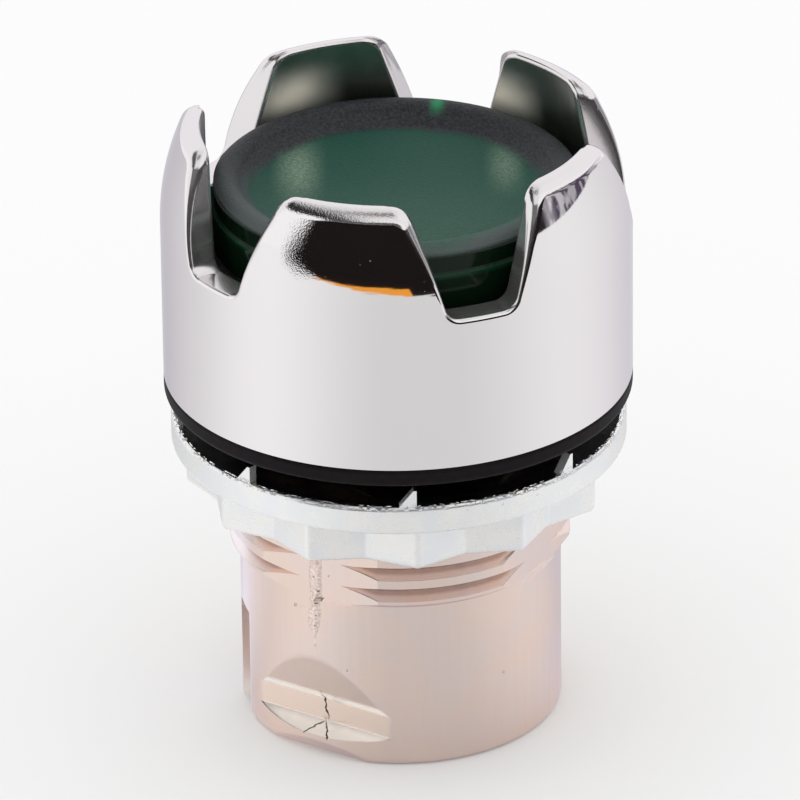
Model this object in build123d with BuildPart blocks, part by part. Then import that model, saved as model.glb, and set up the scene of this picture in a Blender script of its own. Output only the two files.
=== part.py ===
from build123d import *
from math import asin, cos, degrees, radians, sin, tan
import os

# Momentary push button for a 22 mm panel hole: a chromed guard with five merlons round a
# green pressed lens, on a die-cast barrel with an interrupted thread, a gasket and a nut.
# Millimetres. The origin is the centre of the barrel's rear end and +Z points to the lens.
# One merlon of the guard is centred on +X, and the two bayonet recesses face -Y and +Y.

# Fits
static_clearance = 0.05
running_clearance = 0.06
stop_gap = 0.3

# How far a cut runs past the surface, and how closely an edge is matched to a size
cut_margin = 5.0
match_tolerance = 0.01

# Barrel outside
barrel_radius = 10.34
barrel_length = 23.65
barrel_edge_round = 0.5
thread_radius = 10.95
thread_root_radius = 10.2
thread_pitch = 1.505
thread_crest_width = 0.575
thread_start_height = 12.17
thread_lead_in = 0.45
thread_land = 0.22
thread_flat_distance = 10.1
thread_flat_angle = 2.5
thread_flat_start = 11.3
thread_flat_mismatch = 0.95
thread_flat_count = 4

# Barrel bores and head
lower_bore_radius = 7.75
upper_bore_radius = 8.9
bore_shelf_height = 12.4
head_thickness = 2.0

# Bayonet recess in two sides of the barrel's rear end
bayonet_wall_distance = 9.05
bayonet_groove_low = 1.93
bayonet_groove_high = 3.45
bayonet_shoulder_distance = 9.35
bayonet_shoulder_height = 4.05
bayonet_ramp_height = 7.15
bayonet_lip_height = 1.35
bayonet_lead_in_height = 1.1
bayonet_lead_in_distance = 9.45
keyway_width = 2.5
keyway_depth = 1.1
keyway_height = 6.6
keyway_run_out = 1.0
keyway_angle = -135.0

# Guard
guard_radius = 15.0
guard_height = 17.2
guard_straight_height = 10.5
guard_crown_radius = 15.3
guard_wall = 2.1
guard_mouth_inset = 0.6
guard_skirt_wall = 1.5
guard_edge_round = 0.35
merlon_count = 5
notch_floor_height = 10.15
notch_floor_half_width = 2.2
notch_flank_angle = 16.0
notch_corner_radius = 1.0
merlon_corner_radius = 1.3

# Gasket and seals
gasket_thickness = 1.25
gasket_lower_round = 0.4
gasket_upper_round = 0.3
o_ring_wire_radius = 0.36
o_ring_groove_width = 1.0
o_ring_groove_depth = 0.75
seal_bead_width = 1.7
seal_bead_height = 1.5
seal_web_thickness = 0.7
seal_web_rise = 0.6
seal_lip_width = 0.5
seal_lip_height = 1.7
retainer_width = 2.2
retainer_thickness = 0.75

# Nut
nut_wall = 1.39
nut_flange_lip = 0.85
nut_flange_thickness = 1.95
nut_flange_gap = 1.6
nut_star_height = 3.05
nut_star_notch_depth = 1.35
nut_star_points = 12
nut_star_corner_radius = 0.45
nut_star_angle = 7.6
nut_edge_round = 0.5
nut_flange_round = 0.3
nut_tooth_count = 8
nut_tooth_angle = 35.0
nut_tooth_inset = 0.45
nut_tooth_length = 1.1
nut_tooth_width = 0.6
nut_tooth_height = 1.1
nut_tooth_tip = 0.2

# Plunger
button_travel = 4.0
stem_radius = 7.0
stem_bore_radius = 5.9
stem_end_height = 4.6
spring_shoulder_height = 21.0
upper_stem_radius = 8.3
upper_stem_bore_radius = 7.0
funnel_start_height = 22.5
funnel_length = 3.0
funnel_mouth_inset = 0.75
flange_inset = 0.4
flange_thickness = 0.8
collar_height = 1.6
collar_wall = 0.8
snap_start = 0.8
snap_height = 0.6
snap_bead = 0.25
diffuser_thickness = 1.2
diffuser_recess = 0.9

# Ring that holds the plunger in the barrel
ring_height = 5.25
ring_thickness = 0.5
ring_groove_depth = 0.4
ring_overhang = 0.5
ring_gap_angle = 40.0

# Lens, with heights above its lower edge and insets from its skirt
lens_gap = 1.1
lens_skirt_wall = 1.55
lens_waist_inset = 0.2
lens_step_height = 2.6
lens_step_rise = 0.2
lens_groove_height = 3.65
lens_groove_depth = 0.16
lens_groove_half_width = 0.1
lens_edge_height = 3.9
lens_edge_inset = 0.23
lens_rim_height = 4.3
lens_rim_inset = 1.1
lens_slope_height = 3.85
lens_slope_inset = 1.95
lens_dish_height = 3.2
lens_dish_inset = 2.9
lens_dish_blend = 0.6
lens_roof_thickness = 1.2
lens_seal_wire_radius = 0.3

# Guide sleeve and spring
sleeve_end_height = 6.1
sleeve_flange_gap = 0.2
sleeve_flange_thickness = 0.6
spring_wire_radius = 0.3
spring_stem_gap = 0.65
spring_turns = 5.0

# Heights that follow
panel_face = barrel_length
head_top = panel_face + head_thickness
guard_top = panel_face + guard_height
crown_start = panel_face + guard_straight_height
notch_floor = panel_face + notch_floor_height
gasket_bottom = panel_face - gasket_thickness
nut_flange_top = gasket_bottom - nut_flange_gap
nut_flange_bottom = nut_flange_top - nut_flange_thickness
nut_bottom = nut_flange_bottom - nut_star_height
retainer_bottom = head_top + seal_bead_height
retainer_top = retainer_bottom + retainer_thickness
flange_bottom = retainer_top + button_travel + stop_gap
flange_top = flange_bottom + flange_thickness
collar_top = flange_top + collar_height
diffuser_bottom = collar_top - diffuser_recess
dish_floor = flange_top + lens_dish_height
roof_underside = dish_floor - lens_roof_thickness
sleeve_flange_top = bore_shelf_height + sleeve_flange_thickness
ring_top = ring_height + ring_thickness

# Radii that follow
groove_half_width = (thread_pitch - thread_crest_width) / 2
nut_bore_radius = thread_radius + running_clearance
nut_star_inner_radius = nut_bore_radius + nut_wall
nut_star_outer_radius = nut_star_inner_radius + nut_star_notch_depth
nut_flange_radius = nut_star_outer_radius + nut_flange_lip
nut_tooth_radius = nut_flange_radius - nut_tooth_inset
gasket_bore_radius = thread_radius + static_clearance
head_radius = guard_radius - guard_skirt_wall
guard_bore_radius = guard_radius - guard_wall
guard_mouth_radius = guard_bore_radius - guard_mouth_inset
seal_outer_radius = guard_bore_radius - static_clearance
seal_lip_radius = upper_stem_radius + running_clearance
sleeve_radius = lower_bore_radius - static_clearance
sleeve_bore_radius = stem_radius + running_clearance
sleeve_flange_radius = upper_bore_radius - sleeve_flange_gap
spring_mean_radius = stem_radius + spring_stem_gap + spring_wire_radius
ring_groove_radius = stem_radius - ring_groove_depth
lens_skirt_radius = guard_bore_radius - lens_gap
lens_waist_radius = lens_skirt_radius - lens_waist_inset
lens_edge_radius = lens_skirt_radius - lens_edge_inset
lens_rim_radius = lens_skirt_radius - lens_rim_inset
lens_slope_radius = lens_skirt_radius - lens_slope_inset
lens_dish_radius = lens_skirt_radius - lens_dish_inset
lens_bore_radius = lens_skirt_radius - lens_skirt_wall
flange_radius = lens_skirt_radius - flange_inset
collar_radius = lens_bore_radius - static_clearance
diffuser_radius = collar_radius - collar_wall - static_clearance
funnel_mouth_radius = diffuser_radius - funnel_mouth_inset
lens_seal_pocket = 2 * lens_seal_wire_radius + static_clearance
lens_seal_radius = collar_radius + lens_seal_pocket
far = guard_radius + cut_margin

os.makedirs("parts", exist_ok=True)


def face_plane(angle):
    """Plane through the button's axis that faces outward at this angle."""
    a = radians(angle)
    return Plane(origin=(0, 0, 0), x_dir=(-sin(a), cos(a), 0), z_dir=(cos(a), sin(a), 0))


def section_plane(angle):
    """Plane that holds the button's axis, with its x pointing outward at this angle."""
    a = radians(angle)
    return Plane(origin=(0, 0, 0), x_dir=(cos(a), sin(a), 0), z_dir=(sin(a), -cos(a), 0))


# Barrel: one die casting with its head flange, thread rings, bores and bayonet recesses
with BuildPart() as barrel_body:
    thread_land_bottom = thread_start_height - thread_land
    thread_foot = thread_land_bottom - thread_lead_in
    with BuildSketch(Plane.XZ):
        with BuildLine():
            Polyline(
                (lower_bore_radius, 0),
                (barrel_radius, 0),
                (barrel_radius, thread_foot),
                (thread_radius, thread_land_bottom),
                (thread_radius, panel_face),
                (head_radius, panel_face),
                (head_radius, head_top),
                (upper_bore_radius, head_top),
                (upper_bore_radius, bore_shelf_height),
                (lower_bore_radius, bore_shelf_height),
                close=True,
            )
        make_face()
    revolve(axis=Axis.Z)
    rear_edges = barrel_body.edges().filter_by(GeomType.CIRCLE).group_by(Axis.Z)[0]
    fillet(rear_edges.sort_by(SortBy.RADIUS)[-1], barrel_edge_round)

    # Rings of the thread, from the rear ring up to the gasket
    groove_count = int((gasket_bottom - thread_start_height) / thread_pitch) + 1
    for ring in range(groove_count):
        groove_low = thread_start_height + ring * thread_pitch
        groove_high = groove_low + 2 * groove_half_width
        with BuildSketch(Plane.XZ):
            with BuildLine():
                Polyline(
                    (far, groove_low),
                    (thread_radius, groove_low),
                    (thread_root_radius, groove_low + groove_half_width),
                    (thread_radius, groove_high),
                    (far, groove_high),
                    close=True,
                )
            make_face()
        revolve(axis=Axis.Z, mode=Mode.SUBTRACT)

    # Flats that interrupt the thread
    with BuildSketch(Plane.XY.offset(thread_flat_start)):
        with PolarLocations(thread_flat_distance, thread_flat_count, thread_flat_angle):
            Rectangle(thread_radius, 2 * thread_radius, align=(Align.MIN, Align.CENTER))
    extrude(amount=gasket_bottom - thread_flat_start, mode=Mode.SUBTRACT)

    # The flats start lower on the -X side, as the two halves of the die don't match
    with BuildSketch(Plane.XY.offset(thread_flat_start - thread_flat_mismatch)):
        with PolarLocations(thread_flat_distance, thread_flat_count, thread_flat_angle):
            Rectangle(thread_radius, 2 * thread_radius, align=(Align.MIN, Align.CENTER))
        with Locations(Location((0, 0), thread_flat_angle)):
            Rectangle(2 * far, 2 * far, align=(Align.MAX, Align.CENTER), mode=Mode.INTERSECT)
    extrude(amount=thread_flat_mismatch, mode=Mode.SUBTRACT)

    # O-ring groove in the rim of the head
    groove_middle = panel_face + head_thickness / 2
    with BuildSketch(Plane.XZ):
        with Locations((head_radius, groove_middle)):
            Rectangle(2 * o_ring_groove_depth, o_ring_groove_width)
    revolve(axis=Axis.Z, mode=Mode.SUBTRACT)

    # Bayonet recesses: a ramp, a groove, a sloping lip and a lead-in, on both sides
    for side in (-90, 90):
        with BuildSketch(section_plane(side)):
            with BuildLine():
                Polyline(
                    (far, bayonet_ramp_height),
                    (barrel_radius, bayonet_ramp_height),
                    (bayonet_shoulder_distance, bayonet_shoulder_height),
                    (bayonet_wall_distance, bayonet_groove_high),
                    (bayonet_wall_distance, bayonet_groove_low),
                    (barrel_radius, bayonet_lip_height),
                    (far, bayonet_lip_height),
                    close=True,
                )
            make_face()
            with BuildLine():
                Polyline(
                    (far, bayonet_lead_in_height),
                    (barrel_radius, bayonet_lead_in_height),
                    (bayonet_lead_in_distance, 0),
                    (far, 0),
                    close=True,
                )
            make_face()
        extrude(amount=barrel_radius, both=True, mode=Mode.SUBTRACT)

    # Keyway with a sloping run-out
    keyway_floor = barrel_radius - keyway_depth
    with BuildSketch(section_plane(keyway_angle)):
        with BuildLine():
            Polyline(
                (keyway_floor, 0),
                (keyway_floor, keyway_height),
                (barrel_radius, keyway_height + keyway_run_out),
                (far, keyway_height + keyway_run_out),
                (far, 0),
                close=True,
            )
        make_face()
    extrude(amount=keyway_width / 2, both=True, mode=Mode.SUBTRACT)
barrel_body.part.label = "barrel_body"
export_step(barrel_body.part, "parts/barrel_body.step")

# Guard: a ring with a crowned top, cut into five merlons
with BuildPart() as guard_bezel:
    crown_height = guard_height - guard_straight_height
    crown_angle = degrees(asin(crown_height / guard_crown_radius))
    with BuildSketch(Plane.XZ):
        with BuildLine():
            Polyline(
                (head_radius, head_top),
                (head_radius, panel_face),
                (guard_radius, panel_face),
                (guard_radius, crown_start),
            )
            crown = JernArc(
                start=(guard_radius, crown_start),
                tangent=(0, 1),
                radius=guard_crown_radius,
                arc_size=crown_angle,
            )
            Polyline(
                crown @ 1,
                (guard_mouth_radius, guard_top),
                (guard_bore_radius, crown_start),
                (guard_bore_radius, head_top),
                (head_radius, head_top),
            )
        make_face()
    revolve(axis=Axis.Z)
    notch_depth = guard_height - notch_floor_height
    notch_top_half_width = notch_floor_half_width + notch_depth * tan(radians(notch_flank_angle))
    notch_shoulder = notch_top_half_width + 2 * merlon_corner_radius
    for notch in range(merlon_count):
        with BuildSketch(face_plane((notch + 0.5) * 360 / merlon_count)) as notch_outline:
            with BuildLine():
                Polyline(
                    (-notch_floor_half_width, notch_floor),
                    (notch_floor_half_width, notch_floor),
                    (notch_top_half_width, guard_top),
                    (notch_shoulder, guard_top),
                    (notch_shoulder, guard_top + cut_margin),
                    (-notch_shoulder, guard_top + cut_margin),
                    (-notch_shoulder, guard_top),
                    (-notch_top_half_width, guard_top),
                    close=True,
                )
            make_face()
            fillet(notch_outline.vertices().group_by(Axis.Y)[0], notch_corner_radius)
            level_points = notch_outline.vertices().filter_by(lambda v: abs(v.Y - guard_top) < match_tolerance)
            flank_tops = level_points.filter_by(lambda v: abs(v.X) < notch_shoulder - match_tolerance)
            fillet(flank_tops, merlon_corner_radius)
        extrude(amount=far, mode=Mode.SUBTRACT)
    rim_faces = guard_bezel.faces().filter_by(GeomType.PLANE).group_by(Axis.Z)[-1]
    fillet(rim_faces.edges().filter_by(GeomType.CIRCLE), guard_edge_round)
guard_bezel.part.label = "guard_bezel"
export_step(guard_bezel.part, "parts/guard_bezel.step")

# Gasket between the guard and the panel
with BuildPart() as panel_gasket:
    with BuildSketch(Plane.XY.offset(gasket_bottom)):
        Circle(guard_radius)
        Circle(gasket_bore_radius, mode=Mode.SUBTRACT)
    extrude(amount=gasket_thickness)
    rim_edges = panel_gasket.edges().filter_by(GeomType.CIRCLE).group_by(SortBy.RADIUS)[-1]
    fillet(rim_edges.sort_by(Axis.Z)[0], gasket_lower_round)
    fillet(rim_edges.sort_by(Axis.Z)[-1], gasket_upper_round)
panel_gasket.part.label = "panel_gasket"
export_step(panel_gasket.part, "parts/panel_gasket.step")

# O-ring between the barrel's head and the guard
with BuildPart() as guard_o_ring:
    with BuildSketch(Plane.XZ):
        with Locations((head_radius - o_ring_wire_radius, groove_middle)):
            Circle(o_ring_wire_radius)
    revolve(axis=Axis.Z)
guard_o_ring.part.label = "guard_o_ring"
export_step(guard_o_ring.part, "parts/guard_o_ring.step")

# Lip seal: a bead clamped on the head, a web, and a lip that runs on the plunger
with BuildPart() as lip_seal:
    bead_inner_radius = seal_outer_radius - seal_bead_width
    lip_foot = head_top + seal_web_rise
    lip_top = head_top + seal_lip_height
    with BuildSketch(Plane.XZ):
        with BuildLine():
            Polyline(
                (seal_outer_radius, head_top),
                (seal_outer_radius, retainer_bottom),
                (bead_inner_radius, retainer_bottom),
                (bead_inner_radius, head_top + seal_web_thickness),
                (seal_lip_radius + 2 * seal_lip_width, lip_foot + seal_web_thickness),
                (seal_lip_radius + seal_lip_width, lip_top),
                (seal_lip_radius, lip_top),
                (seal_lip_radius, lip_foot + seal_lip_width),
                (seal_lip_radius + seal_lip_width, lip_foot),
                (bead_inner_radius, head_top),
                close=True,
            )
        make_face()
    revolve(axis=Axis.Z)
lip_seal.part.label = "lip_seal"
export_step(lip_seal.part, "parts/lip_seal.step")

# Ring that clamps the lip seal's bead
with BuildPart() as seal_retainer:
    with BuildSketch(Plane.XY.offset(retainer_bottom)):
        Circle(seal_outer_radius)
        Circle(seal_outer_radius - retainer_width, mode=Mode.SUBTRACT)
    extrude(amount=retainer_thickness)
seal_retainer.part.label = "seal_retainer"
export_step(seal_retainer.part, "parts/seal_retainer.step")

# Nut: a toothed flange and a twelve-point star in one die casting
with BuildPart() as mounting_nut:
    with BuildSketch(Plane.XY.offset(nut_bottom)) as star:
        with BuildLine():
            star_corners = []
            for corner in range(nut_star_points):
                for radius, turn in ((nut_star_outer_radius, 0), (nut_star_inner_radius, 0.5)):
                    a = radians(nut_star_angle + (corner + turn) * 360 / nut_star_points)
                    star_corners.append((radius * cos(a), radius * sin(a)))
            Polyline(*star_corners, close=True)
        make_face()
        fillet(star.vertices(), nut_star_corner_radius)
        Circle(nut_bore_radius, mode=Mode.SUBTRACT)
    extrude(amount=nut_star_height)
    rear_edges = mounting_nut.edges().group_by(Axis.Z)[0].sort_by(SortBy.LENGTH)
    fillet(rear_edges[:-1], nut_edge_round)
    with BuildSketch(Plane.XY.offset(nut_flange_bottom)):
        Circle(nut_flange_radius)
        Circle(nut_bore_radius, mode=Mode.SUBTRACT)
    extrude(amount=nut_flange_thickness)
    flange_edges = mounting_nut.edges().filter_by(GeomType.CIRCLE)
    flange_rims = flange_edges.filter_by(lambda e: abs(e.radius - nut_flange_radius) < match_tolerance)
    fillet(flange_rims, nut_flange_round)
    for tooth in range(nut_tooth_count):
        with BuildSketch(
            face_plane(nut_tooth_angle + tooth * 360 / nut_tooth_count).offset(nut_tooth_radius)
        ):
            with BuildLine():
                Polyline(
                    (-nut_tooth_length / 2, nut_flange_top),
                    (-nut_tooth_length / 2, nut_flange_top - nut_flange_round),
                    (nut_tooth_length / 2, nut_flange_top - nut_flange_round),
                    (nut_tooth_length / 2, nut_flange_top + nut_tooth_height),
                    (nut_tooth_length / 2 - nut_tooth_tip, nut_flange_top + nut_tooth_height),
                    close=True,
                )
            make_face()
        extrude(amount=nut_tooth_width / 2, both=True)
mounting_nut.part.label = "mounting_nut"
export_step(mounting_nut.part, "parts/mounting_nut.step")

# Plunger: a tube that guides the button, with a flange and a snap collar for the lens
with BuildPart() as button_plunger:
    ring_groove_top = ring_top + static_clearance
    ring_groove_bottom = ring_height - static_clearance
    bead_bottom = flange_top + snap_start
    bead_middle = bead_bottom + snap_height / 2
    bead_top = bead_bottom + snap_height
    with BuildSketch(Plane.XZ):
        with BuildLine():
            Polyline(
                (stem_bore_radius, stem_end_height),
                (stem_radius, stem_end_height),
                (stem_radius, ring_groove_bottom),
                (ring_groove_radius, ring_groove_bottom),
                (ring_groove_radius, ring_groove_top),
                (stem_radius, ring_groove_top),
                (stem_radius, spring_shoulder_height),
                (upper_stem_radius, spring_shoulder_height),
                (upper_stem_radius, flange_bottom),
                (flange_radius, flange_bottom),
                (flange_radius, flange_top),
                (collar_radius, flange_top),
                (collar_radius, bead_bottom),
                (collar_radius + snap_bead, bead_middle),
                (collar_radius, bead_top),
                (collar_radius, collar_top),
                (diffuser_radius + static_clearance, collar_top),
                (diffuser_radius + static_clearance, diffuser_bottom),
                (funnel_mouth_radius, diffuser_bottom),
                (upper_stem_bore_radius, flange_bottom),
                (upper_stem_bore_radius, funnel_start_height + funnel_length),
                (stem_bore_radius, funnel_start_height),
                close=True,
            )
        make_face()
    revolve(axis=Axis.Z)
button_plunger.part.label = "button_plunger"
export_step(button_plunger.part, "parts/button_plunger.step")

# Lens: a translucent cap with a raised rim round a shallow dish
with BuildPart() as lens_cap:
    snap_low = bead_bottom - static_clearance
    snap_high = bead_top + static_clearance
    step_height = flange_top + lens_step_height
    groove_height = flange_top + lens_groove_height
    edge_point = (lens_edge_radius, flange_top + lens_edge_height)
    slope_point = (lens_slope_radius, flange_top + lens_slope_height)
    with BuildSketch(Plane.XZ) as lens_profile:
        with BuildLine():
            Polyline(
                (0, roof_underside),
                (lens_bore_radius, roof_underside),
                (lens_bore_radius, snap_high),
                (lens_bore_radius + snap_bead, bead_middle),
                (lens_bore_radius, snap_low),
                (lens_bore_radius, flange_top + lens_seal_pocket),
                (lens_seal_radius, flange_top + lens_seal_pocket),
                (lens_seal_radius, flange_top),
                (lens_skirt_radius, flange_top),
                (lens_skirt_radius, step_height - lens_step_rise),
                (lens_waist_radius, step_height),
                (lens_waist_radius, groove_height - lens_groove_half_width),
                (lens_waist_radius - lens_groove_depth, groove_height),
                (lens_edge_radius, groove_height + lens_groove_half_width),
                edge_point,
            )
            ThreePointArc(edge_point, (lens_rim_radius, flange_top + lens_rim_height), slope_point)
            Polyline(slope_point, (lens_dish_radius, dish_floor), (0, dish_floor), (0, roof_underside))
        make_face()
        dish_corner = lens_profile.vertices().sort_by_distance((lens_dish_radius, dish_floor))[0]
        fillet(dish_corner, lens_dish_blend)
    revolve(axis=Axis.Z)
lens_cap.part.label = "lens_cap"
export_step(lens_cap.part, "parts/lens_cap.step")

# O-ring in the corner of the plunger's flange and collar, under the lens
with BuildPart() as lens_seal:
    with BuildSketch(Plane.XZ):
        with Locations((collar_radius + lens_seal_wire_radius, flange_top + lens_seal_wire_radius)):
            Circle(lens_seal_wire_radius)
    revolve(axis=Axis.Z)
lens_seal.part.label = "lens_seal"
export_step(lens_seal.part, "parts/lens_seal.step")

# Diffuser disc, in the mouth of the collar under the lens
with BuildPart() as diffuser:
    with BuildSketch(Plane.XY.offset(diffuser_bottom)):
        Circle(diffuser_radius)
    extrude(amount=diffuser_thickness)
diffuser.part.label = "diffuser"
export_step(diffuser.part, "parts/diffuser.step")

# Guide sleeve: a flanged bush on the barrel's inner shelf
with BuildPart() as guide_sleeve:
    with BuildSketch(Plane.XZ):
        with BuildLine():
            Polyline(
                (sleeve_bore_radius, sleeve_end_height),
                (sleeve_radius, sleeve_end_height),
                (sleeve_radius, bore_shelf_height),
                (sleeve_flange_radius, bore_shelf_height),
                (sleeve_flange_radius, sleeve_flange_top),
                (sleeve_bore_radius, sleeve_flange_top),
                close=True,
            )
        make_face()
    revolve(axis=Axis.Z)
guide_sleeve.part.label = "guide_sleeve"
export_step(guide_sleeve.part, "parts/guide_sleeve.step")

# Return spring, ground flat at both ends, from the sleeve's flange to the plunger's shoulder
with BuildPart() as return_spring:
    spring_length = spring_shoulder_height - sleeve_flange_top
    with BuildLine(Plane.XY.offset(sleeve_flange_top)) as coil:
        Helix(pitch=spring_length / spring_turns, height=spring_length, radius=spring_mean_radius)
    with BuildSketch(Plane(origin=coil.line @ 0, z_dir=coil.line % 0)):
        Circle(spring_wire_radius)
    sweep(is_frenet=True)
    with BuildSketch(Plane.XY.offset(sleeve_flange_top)):
        Circle(upper_bore_radius)
    extrude(amount=-2 * spring_wire_radius, mode=Mode.SUBTRACT)
    with BuildSketch(Plane.XY.offset(spring_shoulder_height)):
        Circle(upper_bore_radius)
    extrude(amount=2 * spring_wire_radius, mode=Mode.SUBTRACT)
return_spring.part.label = "return_spring"
export_step(return_spring.part, "parts/return_spring.step")

# Open ring in the plunger's groove, which stops it under the guide sleeve
with BuildPart() as retaining_ring:
    with BuildSketch(Plane.XY.offset(ring_height)):
        Circle(stem_radius + ring_overhang)
        Circle(ring_groove_radius + static_clearance, mode=Mode.SUBTRACT)
        with BuildLine():
            half_gap = radians(ring_gap_angle / 2)
            Polyline(
                (0, 0),
                (far * cos(half_gap), -far * sin(half_gap)),
                (far * cos(half_gap), far * sin(half_gap)),
                close=True,
            )
        make_face(mode=Mode.SUBTRACT)
    extrude(amount=ring_thickness)
retaining_ring.part.label = "retaining_ring"
export_step(retaining_ring.part, "parts/retaining_ring.step")
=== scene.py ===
import math

import bpy
from mathutils import Matrix, Vector, noise


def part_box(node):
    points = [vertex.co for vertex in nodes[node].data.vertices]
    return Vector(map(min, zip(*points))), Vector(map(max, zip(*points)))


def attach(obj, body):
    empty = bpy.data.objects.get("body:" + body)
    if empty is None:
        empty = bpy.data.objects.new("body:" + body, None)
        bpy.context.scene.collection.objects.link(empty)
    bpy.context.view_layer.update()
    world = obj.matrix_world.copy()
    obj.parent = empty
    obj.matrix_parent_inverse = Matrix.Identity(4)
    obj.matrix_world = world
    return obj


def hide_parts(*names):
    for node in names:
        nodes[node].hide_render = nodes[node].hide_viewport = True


# A push button's head: chromed guard, green lens, gasket, toothed nut and plated barrel.
# Shapes are written in millimetres in the frame's axes and become metres in mesh_piece.

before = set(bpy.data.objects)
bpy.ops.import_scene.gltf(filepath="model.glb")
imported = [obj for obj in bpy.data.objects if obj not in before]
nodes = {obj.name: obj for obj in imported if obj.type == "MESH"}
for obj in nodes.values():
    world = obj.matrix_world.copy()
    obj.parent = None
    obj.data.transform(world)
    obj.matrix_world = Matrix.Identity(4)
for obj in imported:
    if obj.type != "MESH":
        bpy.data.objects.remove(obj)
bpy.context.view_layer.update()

MM = 0.001
SECTOR_COUNT = 5
SECTOR = 2 * math.pi / SECTOR_COUNT

# Camera, fitted to the photograph: distances in millimetres
CAMERA_AZIMUTH = math.radians(33.0)
CAMERA_ELEVATION = math.radians(26.78)
CAMERA_DISTANCE = 631.66
CAMERA_ROLL = math.radians(-0.71)
CAMERA_AIM_HEIGHT = 21.04
CAMERA_AIM_SIDE = 0.085
CAMERA_LENS = 443.92
CAMERA_SENSOR = 36.0

# Camera's near and far limits, in metres
CAMERA_CLIP_START = 0.01
CAMERA_CLIP_END = 20.0


def box_mm(node):
    """Lowest and highest corners of a CAD node, in millimetres."""
    low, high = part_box(node)
    return low / MM, high / MM


def mesh_piece(name, points, faces, normals=None):
    """A smooth mesh object from points in millimetres, with its own normals if they are given."""
    mesh = bpy.data.meshes.new(name)
    mesh.from_pydata([(x * MM, y * MM, z * MM) for x, y, z in points], [], faces)
    mesh.polygons.foreach_set("use_smooth", [True] * len(mesh.polygons))
    mesh.update()
    if normals:
        mesh.normals_split_custom_set_from_vertices([tuple(n) for n in normals])
    piece = bpy.data.objects.new(name, mesh)
    bpy.context.scene.collection.objects.link(piece)
    return piece


def ring_faces(columns, rows):
    """Quads of a grid that is closed round its columns and round its rows."""
    faces = []
    for i in range(columns):
        j = (i + 1) % columns
        for k in range(rows):
            m = (k + 1) % rows
            faces.append((i * rows + k, j * rows + k, j * rows + m, i * rows + m))
    return faces


# Guard: sizes, with heights in the frame
guard_low, guard_high = box_mm("guard_bezel")
GUARD_RADIUS = guard_high.x
GUARD_FOOT = guard_low.z
GUARD_TOP = guard_high.z
CROWN_START = GUARD_FOOT + 10.5
CROWN_RADIUS = 15.3
BORE_RADIUS = GUARD_RADIUS - 2.1
MOUTH_RADIUS = BORE_RADIUS - 0.6
SKIRT_RADIUS = GUARD_RADIUS - 1.5
SKIRT_HEIGHT = 2.0
BORE_SLOPE = (BORE_RADIUS - MOUTH_RADIUS) / (GUARD_TOP - CROWN_START)
TOP_ROUND = 0.8
FLOOR_ROUND = 0.28
INNER_EDGE = 0.3
NOTCH_FLOOR = GUARD_FOOT + 10.15
NOTCH_HALF_WIDTH = 2.2
NOTCH_FLANK = math.radians(16.0)
NOTCH_CORNER = 1.0
MERLON_CORNER = 1.3

# Lens and nut: sizes that their materials follow
LENS_TOP = box_mm("lens_cap")[1].z
nut_high = box_mm("mounting_nut")[1]
NUT_RADIUS = nut_high.x
NUT_TOOTH_HEIGHT = 1.1
NUT_FLANGE_TOP = nut_high.z - NUT_TOOTH_HEIGHT


def guard_outside(z):
    """Radius of the guard's outer wall at a height, and its lean from upright."""
    if z <= CROWN_START:
        return GUARD_RADIUS, 0.0
    lean = math.asin((z - CROWN_START) / CROWN_RADIUS)
    return GUARD_RADIUS - CROWN_RADIUS * (1 - math.cos(lean)), lean


def guard_inside(z):
    """Radius of the guard's bore at a height, and how far its wall leans out over the lens."""
    if z <= CROWN_START:
        return BORE_RADIUS, 0.0
    return BORE_RADIUS - BORE_SLOPE * (z - CROWN_START), math.atan(BORE_SLOPE)


def outer_round(z_edge):
    """Rounding of the guard's outer edge, finer round the notches than on the merlons."""
    flank_height = GUARD_TOP - MERLON_CORNER - NOTCH_FLOOR - NOTCH_CORNER
    share = (z_edge - NOTCH_FLOOR - NOTCH_CORNER) / flank_height
    share = min(1.0, max(0.0, share))
    return FLOOR_ROUND + (TOP_ROUND - FLOOR_ROUND) * share**2


def notch_edge():
    """Half of one notch's outline, from its middle to the merlon's top.

    Each entry is the lateral place, the height and the direction into the metal."""
    tan_flank = math.tan(NOTCH_FLANK)
    turn = math.pi / 2 - NOTCH_FLANK
    low_leg = NOTCH_CORNER * math.tan(turn / 2)
    high_leg = MERLON_CORNER * math.tan(turn / 2)
    top_half = NOTCH_HALF_WIDTH + (GUARD_TOP - NOTCH_FLOOR) * tan_flank
    edge = []
    floor_end = NOTCH_HALF_WIDTH - low_leg
    floor_steps = 10
    for i in range(floor_steps):
        edge.append((floor_end * i / floor_steps, NOTCH_FLOOR, 0.0, -1.0))
    arc_steps = 16
    for i in range(arc_steps + 1):
        a = turn * i / arc_steps
        edge.append(
            (
                floor_end + NOTCH_CORNER * math.sin(a),
                NOTCH_FLOOR + NOTCH_CORNER * (1 - math.cos(a)),
                math.sin(a),
                -math.cos(a),
            )
        )
    flank_start = edge[-1]
    arc_centre_s = top_half + high_leg
    arc_centre_z = GUARD_TOP - MERLON_CORNER
    flank_end_s = arc_centre_s - MERLON_CORNER * math.sin(turn)
    flank_end_z = arc_centre_z + MERLON_CORNER * math.cos(turn)
    flank_steps = 24
    for i in range(1, flank_steps):
        t = i / flank_steps
        edge.append(
            (
                flank_start[0] + t * (flank_end_s - flank_start[0]),
                flank_start[1] + t * (flank_end_z - flank_start[1]),
                math.sin(turn),
                -math.cos(turn),
            )
        )
    for i in range(arc_steps + 1):
        a = turn * (1 - i / arc_steps)
        edge.append(
            (
                arc_centre_s - MERLON_CORNER * math.sin(a),
                arc_centre_z + MERLON_CORNER * math.cos(a),
                math.sin(a),
                -math.cos(a),
            )
        )
    return edge


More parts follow.
